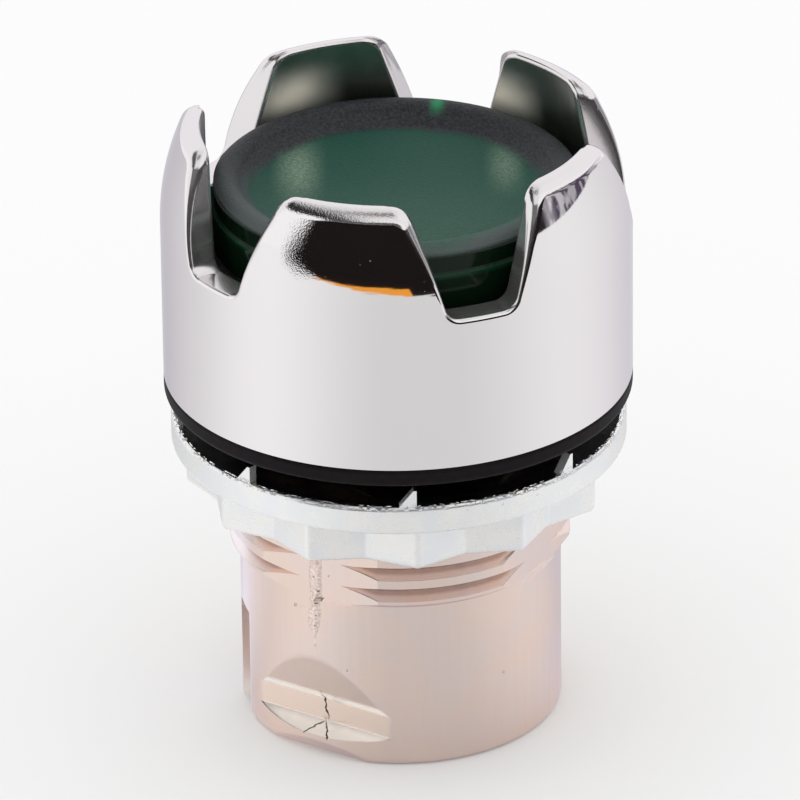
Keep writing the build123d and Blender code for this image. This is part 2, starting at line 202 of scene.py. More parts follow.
def guard_columns():
    """All columns round the guard, each with its notch's angle and its side of the notch.

    After them come the entry of notch_edge and the share of the merlon's top that is passed."""
    half = [(s, z, ns, nz, 0.0) for s, z, ns, nz in notch_edge()]
    top_steps = 26
    s_end = half[-1][0]
    for i in range(1, top_steps + 1):
        half.append((s_end, GUARD_TOP, 0.0, -1.0, i / top_steps))
    columns = []
    for sector in range(SECTOR_COUNT):
        notch_angle = (sector + 0.5) * SECTOR
        for s, z, ns, nz, share in reversed(half[1:]):
            columns.append((notch_angle, -1, s, z, ns, nz, share))
        for s, z, ns, nz, share in half[:-1]:
            columns.append((notch_angle, 1, s, z, ns, nz, share))
    return columns


def guard_column(column):
    """Points and normals of one column, from the foot up outside, over the edge and down inside."""
    notch_angle, side, s, z_edge, ns, nz, share = column
    points, normals = [], []

    def angle_at(lateral, radius):
        bare = math.asin(min(1.0, lateral / radius))
        return notch_angle + side * (bare + share * (SECTOR / 2 - bare))

    def add(angle, radius, z, normal):
        points.append((radius * math.cos(angle), radius * math.sin(angle), z))
        normals.append(normal.normalized())

    def radial(angle, lean, sign):
        out = Vector((math.cos(angle), math.sin(angle), 0)) * math.cos(lean)
        return (out + Vector((0, 0, math.sin(lean)))) * sign

    across = Vector((-math.sin(notch_angle), math.cos(notch_angle), 0)) * side
    edge_out = -(across * ns + Vector((0, 0, nz)))

    rounding = outer_round(z_edge)
    wall_rows = 34
    z_wall = z_edge + nz * rounding
    s_wall = s + ns * rounding
    for k in range(wall_rows):
        z = GUARD_FOOT + (z_wall - GUARD_FOOT) * k / wall_rows
        radius, lean = guard_outside(z)
        angle = angle_at(s_wall, guard_outside(z_wall)[0])
        add(angle, radius, z, radial(angle, lean, 1))
    round_rows = 7
    for k in range(round_rows + 1):
        t = math.pi / 2 * k / round_rows
        inset = rounding * (1 - math.sin(t))
        z = z_edge + nz * inset
        radius, lean = guard_outside(z)
        angle = angle_at(s + ns * inset, radius)
        normal = radial(angle, lean, 1) * math.cos(t) + edge_out * math.sin(t)
        add(angle, radius - rounding * (1 - math.cos(t)), z, normal)
    face_rows = 5
    outer = guard_outside(z_edge)[0] - rounding
    inner = guard_inside(z_edge)[0] + INNER_EDGE
    for k in range(1, face_rows):
        radius = outer + (inner - outer) * k / face_rows
        add(angle_at(s, radius), radius, z_edge, edge_out)
    for k in range(round_rows + 1):
        t = math.pi / 2 * (1 - k / round_rows)
        inset = INNER_EDGE * (1 - math.sin(t))
        z = z_edge + nz * inset
        radius, lean = guard_inside(z)
        angle = angle_at(s + ns * inset, radius)
        normal = radial(angle, lean, -1) * math.cos(t) + edge_out * math.sin(t)
        add(angle, radius + INNER_EDGE * (1 - math.cos(t)), z, normal)
    bore_foot = GUARD_FOOT + SKIRT_HEIGHT
    bore_rows = 20
    z_bore = z_edge + nz * INNER_EDGE
    s_bore = s + ns * INNER_EDGE
    for k in range(1, bore_rows + 1):
        z = z_bore + (bore_foot - z_bore) * k / bore_rows
        radius, lean = guard_inside(z)
        angle = angle_at(s_bore, guard_inside(z_bore)[0])
        add(angle, radius, z, radial(angle, lean, -1))
    angle = angle_at(s_wall, guard_outside(z_wall)[0])
    add(angle, BORE_RADIUS, bore_foot, Vector((0, 0, -1)))
    add(angle, SKIRT_RADIUS, bore_foot, Vector((0, 0, -1)))
    add(angle, SKIRT_RADIUS, bore_foot, radial(angle, 0, -1))
    add(angle, SKIRT_RADIUS, GUARD_FOOT, radial(angle, 0, -1))
    add(angle, SKIRT_RADIUS, GUARD_FOOT, Vector((0, 0, -1)))
    add(angle, GUARD_RADIUS, GUARD_FOOT, Vector((0, 0, -1)))
    return points, normals


def make_guard():
    """The chromed guard as a mesh fine enough for mirror reflections."""
    points, normals = [], []
    columns = guard_columns()
    for column in columns:
        column_points, column_normals = guard_column(column)
        points += column_points
        normals += column_normals
    rows = len(points) // len(columns)
    faces = ring_faces(len(columns), rows)
    piece = mesh_piece("guard_shell", points, faces, normals)
    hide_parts("guard_bezel")
    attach(piece, "barrel")
    return piece


# Barrel: the front that carries the flash, and the keyway
BARREL_RADIUS = 10.34
FLAT_DISTANCE = 10.1
FLAT_ANGLE = math.radians(2.5)
FLAT_START_LEFT = 10.35
FLAT_START_RIGHT = 11.3
KEYWAY_ANGLE = math.radians(-135.0)

# Flash along the barrel's parting line, on its front side
FLASH_MIDDLE = 0.1
FLASH_LOW = 7.3
FLASH_WIDE_FROM = 9.1
FLASH_WIDENING = 0.8
FLASH_HIGH = 15.7
FLASH_END = 0.3
FLASH_HALF_WIDTH = 0.48
FLASH_LINE_HALF_WIDTH = 0.14
FLASH_RISE = 0.15
FLASH_LINE_RISE = 0.03
FLASH_SWAY = 0.08
FLASH_SINK = 0.02
FLASH_ROOT = 0.12
FLASH_ROWS = 230
FLASH_COLUMNS = 15


def barrel_front(x, z):
    """How far out the barrel's front lies at a place near the parting line."""
    start = FLAT_START_RIGHT if x > 0 else FLAT_START_LEFT
    if z > start:
        return (FLAT_DISTANCE - x * math.sin(FLAT_ANGLE)) / math.cos(FLAT_ANGLE)
    return math.sqrt(BARREL_RADIUS**2 - x**2)


def roughness_at(x, z, scale, layer):
    """Random height from 0 to 1 at a place on the flash."""
    return 0.5 + 0.5 * noise.noise(Vector((x * scale, layer, z * scale)))


def flash_points():
    """The flash's front and back points, row by row from its lower end."""
    front, back = [], []
    for i in range(FLASH_ROWS):
        z = FLASH_LOW + (FLASH_HIGH - FLASH_LOW) * i / (FLASH_ROWS - 1)
        wide = min(1.0, max(0.0, (z - FLASH_WIDE_FROM) / FLASH_WIDENING + 0.5))
        half = FLASH_LINE_HALF_WIDTH + (FLASH_HALF_WIDTH - FLASH_LINE_HALF_WIDTH) * wide
        rise = FLASH_LINE_RISE + (FLASH_RISE - FLASH_LINE_RISE) * wide
        ends = min(1.0, (z - FLASH_LOW) / FLASH_END, (FLASH_HIGH - z) / FLASH_END)
        sway = FLASH_SWAY * noise.noise(Vector((0.0, 5.0, z * 0.9)))
        for j in range(FLASH_COLUMNS):
            share = 2 * j / (FLASH_COLUMNS - 1) - 1
            x = FLASH_MIDDLE + sway + share * half
            lumps = roughness_at(x, z, 3.2, 0.0)
            specks = roughness_at(x, z, 8.0, 9.0)
            height = ends * rise * (1 - share**2) * (0.35 + lumps + 0.5 * specks) - FLASH_SINK
            out = barrel_front(x, z)
            front.append((x, -out - height, z))
            back.append((x, -out + FLASH_ROOT, z))
    return front, back


def make_flash():
    """A rough strip of flash that runs down the barrel and thins to a line."""
    rows, columns = FLASH_ROWS, FLASH_COLUMNS
    front, back = flash_points()
    faces = []
    for i in range(rows - 1):
        for j in range(columns - 1):
            a, b = i * columns + j, (i + 1) * columns + j
            faces.append((a, a + 1, b + 1, b))
            c, d = a + len(front), b + len(front)
            faces.append((c, d, d + 1, c + 1))
    rim = list(range(columns))
    rim += [i * columns + columns - 1 for i in range(1, rows)]
    rim += [(rows - 1) * columns + j for j in range(columns - 2, -1, -1)]
    rim += [i * columns for i in range(rows - 2, 0, -1)]
    for a, b in zip(rim, rim[1:] + rim[:1]):
        faces.append((a, a + len(front), b + len(front), b))
    piece = mesh_piece("parting_flash", front + back, faces)
    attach(piece, "barrel")
    return piece


# Spacing of the shader nodes in Blender's editor
NODE_SPACING = 180


class Nodes:
    """Adds shader nodes to one tree, laid out in a row."""

    def __init__(self, tree):
        self.tree = tree
        self.x = 0

    def add(self, kind, **inputs):
        node = self.tree.nodes.new(kind)
        node.location = (self.x, 0)
        self.x += NODE_SPACING
        for key, value in inputs.items():
            self.feed(node, key, value)
        return node

    def feed(self, node, key, value):
        """Sets or links an input, named by its label or, as in i2, by its number."""
        by_number = key[0] == "i" and key[1:].isdigit()
        socket = node.inputs[int(key[1:])] if by_number else node.inputs[key]
        if isinstance(value, bpy.types.NodeSocket):
            self.tree.links.new(value, socket)
        else:
            socket.default_value = value

    def math(self, operation, *values):
        node = self.add("ShaderNodeMath")
        node.operation = operation
        for index, value in enumerate(values):
            self.feed(node, f"i{index}", value)
        return node.outputs[0]

    def times(self, *values):
        """The product of two or more values, from left to right."""
        product = values[0]
        for value in values[1:]:
            product = self.math("MULTIPLY", product, value)
        return product

    def plus(self, first, second):
        return self.math("ADD", first, second)

    def minus(self, first, second):
        return self.math("SUBTRACT", first, second)

    def most(self, first, second):
        return self.math("MAXIMUM", first, second)

    def least(self, first, second):
        return self.math("MINIMUM", first, second)

    def band(self, value, low, high, to_low=0.0, to_high=1.0):
        """A smooth step from to_low at low to to_high at high."""
        node = self.add("ShaderNodeMapRange")
        node.interpolation_type = "SMOOTHSTEP"
        self.feed(node, "Value", value)
        self.feed(node, "From Min", low)
        self.feed(node, "From Max", high)
        self.feed(node, "To Min", to_low)
        self.feed(node, "To Max", to_high)
        return node.outputs["Result"]

    def fall(self, value, low, high):
        """A smooth step from 1 at low down to 0 at high."""
        return self.band(value, low, high, 1.0, 0.0)

    def mix(self, factor, first, second):
        node = self.add("ShaderNodeMix")
        node.data_type = "RGBA"
        self.feed(node, "i0", factor)
        self.feed(node, "i6", first)
        self.feed(node, "i7", second)
        return node.outputs[2]

    def noise(self, vector, scale, detail=2.0, roughness=0.5):
        node = self.add("ShaderNodeTexNoise")
        self.feed(node, "Vector", vector)
        self.feed(node, "Scale", scale)
        self.feed(node, "Detail", detail)
        self.feed(node, "Roughness", roughness)
        return node.outputs["Fac"]

    def bump(self, height, strength, distance, normal=None):
        node = self.add("ShaderNodeBump")
        self.feed(node, "Height", height)
        self.feed(node, "Strength", strength)
        self.feed(node, "Distance", distance)
        if normal:
            self.feed(node, "Normal", normal)
        return node.outputs["Normal"]

    def bell(self, value, middle, half_width):
        """1 at the middle, falling smoothly to 0 at half_width on both sides."""
        off = self.math("ABSOLUTE", self.minus(value, middle))
        return self.fall(off, 0.0, half_width)

    def radius(self, x, y):
        squares = self.plus(self.math("POWER", x, 2.0), self.math("POWER", y, 2.0))
        return self.math("SQRT", squares)

    def camera_axes(self, x, y):
        """How far a place or direction lies toward the camera's side, and to its right."""
        front_x = math.sin(CAMERA_AZIMUTH)
        front_y = -math.cos(CAMERA_AZIMUTH)
        toward = self.plus(self.times(x, front_x), self.times(y, front_y))
        aside = self.plus(self.times(x, -front_y), self.times(y, front_x))
        return toward, aside

    def bearing(self, toward, aside):
        """Angle from the camera's side to the right, in degrees."""
        return self.math("DEGREES", self.math("ARCTAN2", aside, toward))

    def facing_up(self):
        """Upward part of the surface's normal."""
        return self.parts(self.add("ShaderNodeNewGeometry").outputs["Normal"])[2]

    def turned(self, x, y, angle):
        """A place's distance across and along the direction at this angle."""
        c, s = math.cos(angle), math.sin(angle)
        across = self.minus(self.times(y, c), self.times(x, s))
        along = self.plus(self.times(x, c), self.times(y, s))
        return across, along

    def pair(self, x, y):
        node = self.add("ShaderNodeCombineXYZ")
        self.feed(node, "i0", x)
        self.feed(node, "i1", y)
        return node.outputs[0]

    def grey(self, level):
        node = self.add("ShaderNodeCombineColor")
        for index in range(3):
            self.feed(node, f"i{index}", level)
        return node.outputs[0]

    def stretch(self, vector, x, y, z):
        node = self.add("ShaderNodeVectorMath")
        node.operation = "MULTIPLY"
        self.feed(node, "i0", vector)
        self.feed(node, "i1", (x, y, z))
        return node.outputs[0]

    def pits(self, vector, scale, size, share):
        """1 in small round spots, one in some of the cells of a random pattern."""
        node = self.add("ShaderNodeTexVoronoi")
        self.feed(node, "Vector", vector)
        self.feed(node, "Scale", scale)
        spot = self.fall(node.outputs["Distance"], size * 0.5, size)
        kept = self.band(self.parts(node.outputs["Color"])[0], share, share + 0.02)
        return self.times(spot, kept)

    def place(self):
        """The point in the frame, in millimetres."""
        coordinates = self.add("ShaderNodeTexCoord")
        scale = self.add("ShaderNodeVectorMath")
        scale.operation = "SCALE"
        self.feed(scale, "i0", coordinates.outputs["Object"])
        self.feed(scale, "Scale", 1 / MM)
        return scale.outputs[0]

    def parts(self, vector):
        node = self.add("ShaderNodeSeparateXYZ")
        self.feed(node, "i0", vector)
        return node.outputs


def surface(name, **settings):
    """A material with one Principled shader, its nodes helper and its sockets set."""
    material = bpy.data.materials.new(name)
    material.use_nodes = True
    shader = material.node_tree.nodes["Principled BSDF"]
    for key, value in settings.items():
        shader.inputs[key.replace("_", " ")].default_value = value
    return material, shader, Nodes(material.node_tree)


def colour(red, green, blue):
    return (red, green, blue, 1.0)


# Depths of the shaders' relief, in metres
FINE_RELIEF = 0.00002
CAST_RELIEF = 0.00003
FROST_RELIEF = 0.00005
WAVE_RELIEF = 0.0004

# Colours that more than one place uses
ROOM_DARK = colour(0.012, 0.009, 0.009)
# Cream of the painted highlights in the barrel's recesses
HIGHLIGHT_CREAM = colour(1.0, 0.95, 0.88)

# Guard: where its plating changes, and where a warm glow is painted in its bore
PAINTED_GLOW_BEARING = 148.0
PAINTED_GLOW_HALF_WIDTH = 19.0
PAINTED_GLOW_HEIGHT = GUARD_TOP - 3.2
CHROME_ROUGHNESS = 0.045
EDGE_ROUGHNESS = 0.10
BORE_ROUGHNESS = 0.24

# Barrel: where its plating changes, and where its painted light and shade lie
FOOT_SHADE_TOP = 5.5
LEDGE_TOP = 1.9
RECESS_LOW = 1.2
GROOVE_TOP = 3.4
SHOULDER_MIDDLE = 3.75
RAMP_LOW = 4.05
RAMP_TOP = 7.1
RECESS_DISTANCE = 8.7
KEYWAY_TOP = 7.2
THREAD_LOW = 12.1
UNDER_NUT = 19.6
CRACK_MIDDLE = 3.0
CRACK_LEAN = -0.13
FORK_HEIGHT = 1.6
FORK_START = -9.05

# Lens: where its colour changes and where light is painted on it
LENS_SKIRT_RADIUS = 11.1
LENS_LINE_HEIGHT = LENS_TOP - 0.62
LENS_PAINTED_GLOW_HEIGHT = LENS_TOP - 1.95
LENS_RIM_RADIUS = 8.7
LIGHT_SPOT_ASIDE = 2.70
LIGHT_SPOT_TOWARD = -10.1


def guard_masks(n, x, y, z):
    """Where the guard's surface is edge or bore rather than outer wall, and where it is bore."""
    radius = n.radius(x, y)
    rise = n.most(n.minus(z, CROWN_START), 0.0)
    reach = n.math("SQRT", n.minus(CROWN_RADIUS**2, n.math("POWER", rise, 2.0)))
    outside = n.plus(GUARD_RADIUS - CROWN_RADIUS, reach)
    edge = n.band(n.minus(outside, radius), 0.01, 0.12)
    bore_wall = n.minus(BORE_RADIUS, n.times(rise, BORE_SLOPE))
    bore = n.fall(n.minus(radius, bore_wall), 0.01, 0.06)
    return edge, bore


def chrome_material():
    """Bright chrome, mirror-like outside, dull in the bore with painted shade and glow, grain on the
    edges.
    """
    material, shader, n = surface("chrome_plate")
    place = n.place()
    x, y, z = n.parts(place)
    toward, aside = n.camera_axes(x, y)
    edge, bore = guard_masks(n, x, y, z)
    height = n.band(z, NOTCH_FLOOR, GUARD_TOP)
    cloud = n.noise(place, 0.45, 3.0)

    # A painted warm glow in the bore, on two sides
    behind = n.math("ABSOLUTE", n.bearing(toward, aside))
    painted_warm_light = n.times(n.bell(behind, PAINTED_GLOW_BEARING, PAINTED_GLOW_HALF_WIDTH), n.bell(z, PAINTED_GLOW_HEIGHT, 2.6))
    painted_warm_light = n.times(painted_warm_light, n.band(cloud, 0.2, 0.7, 0.85, 1.0))
    plate = n.mix(edge, colour(0.88, 0.85, 0.86), colour(0.80, 0.77, 0.78))
    # Painted shade: the bore's plating is darker and olive, with a random tone
    bore_shade_and_glow = n.mix(n.band(cloud, 0.35, 0.65), colour(0.40, 0.48, 0.42), colour(0.55, 0.58, 0.52))
    bore_shade_and_glow = n.mix(painted_warm_light, bore_shade_and_glow, colour(0.95, 0.88, 0.74))
    n.feed(shader, "Base Color", n.mix(bore, plate, bore_shade_and_glow))

    # The merlons' tops on one side stay polished, while the other edges are slightly matt
    crest = n.times(n.band(z, GUARD_TOP - TOP_ROUND, GUARD_TOP - 0.4), n.band(toward, 6.0, 9.0))
    faces = n.times(n.minus(edge, bore), n.minus(1.0, crest))
    matt = n.plus(n.times(bore, painted_warm_light), n.times(faces, 0.07))
    n.feed(shader, "Metallic", n.minus(1.0, matt))
    rough = n.plus(n.times(faces, EDGE_ROUGHNESS), CHROME_ROUGHNESS)
    n.feed(shader, "Roughness", n.plus(rough, n.times(bore, BORE_ROUGHNESS)))
    shader.inputs["Specular Tint"].default_value = colour(0.93, 0.90, 0.97)

    # Relief: a fine grain, specks on the crest and on one flank, pits and broad waves
    flank = n.times(
        n.bell(aside, -6.3, 1.9),
        n.band(z, GUARD_TOP - 6.0, GUARD_TOP - 4.0),
        n.band(toward, 4.0, 7.0),
    )
    speckle = n.most(crest, n.times(flank, 0.6))
    grain = n.plus(n.times(edge, 0.07), n.times(height, 0.03))
    pits = n.times(n.pits(place, 2.0, 0.09, 0.8), n.band(height, 0.3, 0.9, 0.1, 1.0))
    specks = n.times(n.noise(place, 9.0, 2.0), speckle, 0.75)
    relief = n.plus(n.times(n.noise(place, 6.0, 2.0), grain), specks)
    relief = n.minus(relief, n.times(pits, 0.6))
    waves = n.bump(n.noise(place, 0.2, 1.0), 0.05, WAVE_RELIEF)
    n.feed(shader, "Normal", n.bump(relief, 1.0, FINE_RELIEF, waves))
    return material


def thread_groove_shade(n, plate, radius, x, y, z):
    """The plating's colour with painted shade in the thread's grooves, on the threads and not the
    flats.
    """
    painted_groove_shade = n.times(n.fall(radius, 10.4, 10.65), n.band(z, THREAD_LOW, THREAD_LOW + 0.4))
    flat_across, flat_along = n.turned(x, y, FLAT_ANGLE)
    flat_reach = n.most(n.math("ABSOLUTE", flat_across), n.math("ABSOLUTE", flat_along))
    painted_groove_shade = n.times(painted_groove_shade, n.fall(flat_reach, 9.7, 9.95))
    return n.mix(n.times(painted_groove_shade, 0.45), plate, colour(0.50, 0.38, 0.34))


def recess_light_and_shade(n, plate, radius, y, z):
    """The plating's colour with painted light and shade in the two recesses, and where their ledges,
    painted cream, lie.
    """
    depth = n.band(n.math("ABSOLUTE", y), RECESS_DISTANCE, RECESS_DISTANCE + 0.2)
    cut_in = n.times(n.fall(radius, 10.2, 10.3), depth)
    recess = n.times(cut_in, n.band(z, RECESS_LOW, RECESS_LOW + 0.1))
    groove_wall = n.times(recess, n.fall(z, GROOVE_TOP, GROOVE_TOP + 0.1))
    # Painted light: the ledge is cream and the groove wall above it a lighter warm pink
    painted_warm_light = n.mix(n.band(z, LEDGE_TOP, LEDGE_TOP + 0.2), HIGHLIGHT_CREAM, colour(0.91, 0.75, 0.65))
    plate = n.mix(groove_wall, plate, painted_warm_light)
    # Painted highlight: a cream line along the shoulder
    shoulder = n.times(recess, n.bell(z, SHOULDER_MIDDLE, 0.4))
    plate = n.mix(n.band(shoulder, 0.0, 0.5), plate, HIGHLIGHT_CREAM)
    # Painted shade: the ramp is darker
    ramp = n.times(
        recess,
        n.band(z, RAMP_LOW, RAMP_LOW + 0.15),
        n.fall(z, RAMP_TOP, RAMP_TOP + 0.1),
    )
    plate = n.mix(n.times(ramp, 0.8), plate, colour(0.70, 0.57, 0.50))
    ledge = n.most(n.times(recess, n.fall(z, LEDGE_TOP, LEDGE_TOP + 0.1)), shoulder)
    return plate, ledge


def recess_crack(n, place, x, y, z):
    """A crack up the front recess that forks at its lower end."""
    jitter = n.times(n.minus(n.noise(place, 2.0, 2.0), 0.5), 0.5)
    front = n.fall(y, -8.0, -7.0)
    lean = n.times(n.minus(z, CRACK_MIDDLE), CRACK_LEAN)
    off = n.minus(n.minus(x, lean), n.plus(jitter, 0.05))
    crack = n.times(n.bell(off, 0.0, 0.11), n.bell(z, CRACK_MIDDLE, 1.6))
    out = n.minus(FORK_START, y)
    fork = n.minus(n.math("ABSOLUTE", n.plus(x, jitter)), n.times(out, 0.75))
    forks = n.times(n.bell(fork, 0.0, 0.12), n.bell(z, FORK_HEIGHT, 0.55))
    return n.times(n.most(crack, forks), front)


def barrel_material():
    """Rosy nickel over a die casting, with a painted warm shade at the foot, scratches, pits and a
    crack.
    """
    material, shader, n = surface("barrel_plate")
    place = n.place()
    x, y, z = n.parts(place)
    cloud = n.noise(place, 0.22, 3.0)
    # Painted shade: darker and warmer toward the foot
    foot_shade = n.fall(z, 0.0, FOOT_SHADE_TOP)
    rose = n.mix(n.band(cloud, 0.35, 0.65), colour(0.88, 0.71, 0.63), colour(0.84, 0.71, 0.67))
    plate = n.mix(n.times(foot_shade, 0.3), rose, colour(0.80, 0.60, 0.50))
    # Painted light: upward faces below the thread are lighter
    lit_upward_faces = n.times(n.band(n.facing_up(), 0.2, 0.5), n.fall(z, THREAD_LOW - 0.3, THREAD_LOW))
    plate = n.mix(lit_upward_faces, plate, colour(1.0, 0.96, 0.91))
    radius = n.radius(x, y)
    plate = thread_groove_shade(n, plate, radius, x, y, z)
    # Painted light: a paler band along the barrel's edge on the camera's left
    _, aside = n.camera_axes(x, y)
    painted_pale_side = n.fall(aside, -10.3, -9.4)
    plate = n.mix(n.times(painted_pale_side, 0.8), plate, colour(0.97, 0.92, 0.95))
    plate, ledge = recess_light_and_shade(n, plate, radius, y, z)
    n.feed(shader, "Metallic", n.minus(1.0, n.times(ledge, 0.6)))

    across, along = n.turned(x, y, KEYWAY_ANGLE)
    keyway = n.times(n.bell(across, 0.0, 1.6), n.band(along, 9.0, 9.2))
    keyway = n.times(n.band(keyway, 0.0, 0.1), n.fall(z, KEYWAY_TOP, KEYWAY_TOP + 0.6))
    plate = n.mix(keyway, plate, colour(0.98, 0.90, 0.86))
    crack = recess_crack(n, place, x, y, z)
    plate = n.mix(n.band(crack, 0.15, 0.7), plate, colour(0.05, 0.03, 0.025))
    # Painted shade: nearly black where the barrel runs under the nut
    under_nut_shade = n.band(z, UNDER_NUT, UNDER_NUT + 0.7)
    n.feed(shader, "Base Color", n.mix(under_nut_shade, plate, colour(0.05, 0.035, 0.03)))

    brushed = n.noise(n.stretch(place, 1.0, 1.0, 0.05), 2.2, 3.0)
    n.feed(shader, "Roughness", n.band(brushed, 0.25, 0.75, 0.17, 0.27))
    shader.inputs["Specular Tint"].default_value = colour(0.93, 0.91, 1.0)
    pits = n.pits(place, 0.8, 0.10, 0.8)
    relief = n.plus(n.times(n.noise(place, 3.0, 3.0), 0.10), n.times(brushed, 0.10))
    relief = n.minus(relief, n.times(pits, 1.5))
    relief = n.minus(relief, n.times(crack, 1.5))
    n.feed(shader, "Normal", n.bump(relief, 1.0, CAST_RELIEF))
    return material


def flash_material():
    """Torn metal along the parting line, bright and rough."""
    material, shader, n = surface("flash_metal", Metallic=1.0)
    fine = n.noise(n.place(), 5.0, 3.0)
    tone = n.mix(n.band(fine, 0.35, 0.65), colour(0.78, 0.60, 0.53), colour(1.0, 0.88, 0.82))
    n.feed(shader, "Base Color", tone)
    n.feed(shader, "Roughness", n.band(fine, 0.3, 0.7, 0.15, 0.4))
    n.feed(shader, "Normal", n.bump(fine, 1.0, FINE_RELIEF))
    return material


def nut_material():
    """Bright zinc plating, satin, with nicks, and a bright flange face under the gasket."""
    material, shader, n = surface("nut_plate")
    place = n.place()
    x, y, z = n.parts(place)
    cloud = n.noise(place, 0.5, 3.0)
    tone = n.mix(n.band(cloud, 0.3, 0.7), colour(0.93, 0.92, 0.90), colour(0.88, 0.90, 0.93))
    n.feed(shader, "Base Color", tone)
    at_flange = n.band(z, NUT_FLANGE_TOP - 0.1, NUT_FLANGE_TOP - 0.05)
    seat = n.times(n.band(n.facing_up(), 0.8, 0.95), at_flange)
    n.feed(shader, "Metallic", n.band(seat, 0.0, 1.0, 0.75, 1.0))
    satin = n.band(cloud, 0.3, 0.7, 0.24, 0.34)
    n.feed(shader, "Roughness", n.minus(satin, n.times(seat, 0.14)))

    pits = n.times(n.pits(place, 0.8, 0.10, 0.85), n.minus(1.0, seat))
    outmost = n.band(n.radius(x, y), NUT_RADIUS - 0.35, NUT_RADIUS - 0.2)
    rim = n.times(n.bell(z, NUT_FLANGE_TOP, 0.3), outmost)
    nicks = n.times(n.band(n.noise(place, 3.0, 2.0), 0.5, 0.62), rim)
    relief = n.minus(n.times(n.noise(place, 2.0, 3.0), 0.04), n.times(pits, 0.6))
    relief = n.minus(relief, n.times(nicks, 3.0))
    n.feed(shader, "Normal", n.bump(relief, 1.0, CAST_RELIEF))
    return material


def rubber_material():
    """Black rubber with a slight variation of its tone."""
    material, shader, n = surface("rubber", Roughness=0.5)
    place = n.place()
    cloud = n.noise(place, 1.5, 3.0)
    tone = n.mix(cloud, colour(0.005, 0.004, 0.005), colour(0.013, 0.010, 0.012))
    n.feed(shader, "Base Color", tone)
    shader.inputs["Specular IOR Level"].default_value = 0.09
    n.feed(shader, "Normal", n.bump(n.noise(place, 6.0, 2.0), 0.5, FINE_RELIEF))
    return material


def lens_rim(n, place, radius, toward):
    """Where the top's dark rim lies, with a soft edge that comes further in on one side."""
    wobble = n.times(n.minus(n.noise(place, 0.3, 2.0), 0.5), 0.8)
    reach = n.minus(n.plus(radius, wobble), n.times(toward, 0.08))
    reach = n.minus(reach, n.times(n.most(toward, 0.0), 0.09))
    return n.band(reach, LENS_RIM_RADIUS, LENS_RIM_RADIUS + 1.1)


def lens_material():
    """Green plastic: frosted top, darker rim, glossy dark side, and painted reflections, sheen, glow
    and light spot.
    """
    material, shader, n = surface("lens_green")
    place = n.place()
    x, y, z = n.parts(place)
    radius = n.radius(x, y)
    toward, aside = n.camera_axes(x, y)
    fine = n.noise(place, 6.0, 3.0)
    skirt = n.band(radius, LENS_SKIRT_RADIUS, LENS_SKIRT_RADIUS + 0.1)
    above_line = n.band(z, LENS_LINE_HEIGHT - 0.13, LENS_LINE_HEIGHT)
    frosted = n.most(above_line, n.minus(1.0, skirt))
    rim = lens_rim(n, place, radius, toward)

    # The dish, with two painted reflections streaked across it
    painted_reflection_left = n.times(n.bell(aside, -6.2, 2.0), n.bell(toward, -2.5, 6.5))
    painted_reflection_right = n.times(n.bell(aside, 7.0, 1.6), n.bell(toward, -3.0, 5.5))
    painted_reflections = n.plus(painted_reflection_left, n.times(painted_reflection_right, 0.7))
    painted_reflections = n.times(painted_reflections, n.band(fine, 0.3, 0.7, 0.75, 1.0))
    # Painted sheen: the dish is lighter toward the camera's side
    front = n.band(toward, -4.0, 9.0)
    dish = n.mix(front, colour(0.016, 0.080, 0.056), colour(0.045, 0.115, 0.085))
    dish = n.mix(n.times(painted_reflections, 0.85), dish, colour(0.24, 0.33, 0.24))
    dark_grain = n.times(n.band(fine, 0.35, 0.7, 0.35, 0.0), frosted)
    dish = n.mix(dark_grain, dish, colour(0.012, 0.05, 0.036))

    # The rim and a painted bright spot of light on it
    shade = n.mix(n.band(fine, 0.3, 0.7), colour(0.008, 0.010, 0.014), colour(0.034, 0.034, 0.042))
    # Painted sheen: the rim is lighter toward the camera's side
    shade = n.mix(front, shade, colour(0.075, 0.095, 0.092))
    top = n.mix(rim, dish, shade)
    painted_light_spot = n.times(n.bell(aside, LIGHT_SPOT_ASIDE, 0.75), n.bell(toward, LIGHT_SPOT_TOWARD, 1.0))
    top = n.mix(painted_light_spot, top, colour(0.01, 0.24, 0.10))

    # The side, with a painted green glow at one height, and the thin pale line where the frosting
    # ends
    glow = n.bell(z, LENS_PAINTED_GLOW_HEIGHT, 0.3)
    side = n.mix(n.times(glow, 0.7), colour(0.003, 0.011, 0.005), colour(0.006, 0.045, 0.02))
    body = n.mix(frosted, side, top)
    line = n.times(n.bell(z, LENS_LINE_HEIGHT, 0.05), skirt)
    n.feed(shader, "Base Color", n.mix(n.times(line, 0.5), body, colour(0.25, 0.30, 0.28)))
    n.feed(shader, "Roughness", n.band(frosted, 0.0, 1.0, 0.12, 0.6))
    n.feed(shader, "Specular IOR Level", n.band(n.times(rim, frosted), 0.0, 1.0, 0.18, 0.4))
    n.feed(shader, "Normal", n.bump(n.times(fine, frosted), 1.0, FROST_RELIEF))
    return material


def plain_material(name, red, green, blue, roughness, metallic=0.0):
    """A moulded or drawn material with a slight variation of its tone."""
    material, shader, n = surface(name, Roughness=roughness, Metallic=metallic)
    place = n.place()
    cloud = n.noise(place, 0.8, 3.0)
    dark = colour(red * 0.85, green * 0.85, blue * 0.85)
    n.feed(shader, "Base Color", n.mix(cloud, dark, colour(red, green, blue)))
    n.feed(shader, "Normal", n.bump(n.noise(place, 4.0, 2.0), 0.4, FINE_RELIEF))
    return material


def dress(node, material):
    """Gives a CAD node's surface this material."""
    materials = nodes[node].data.materials
    materials.clear()
    materials.append(material)


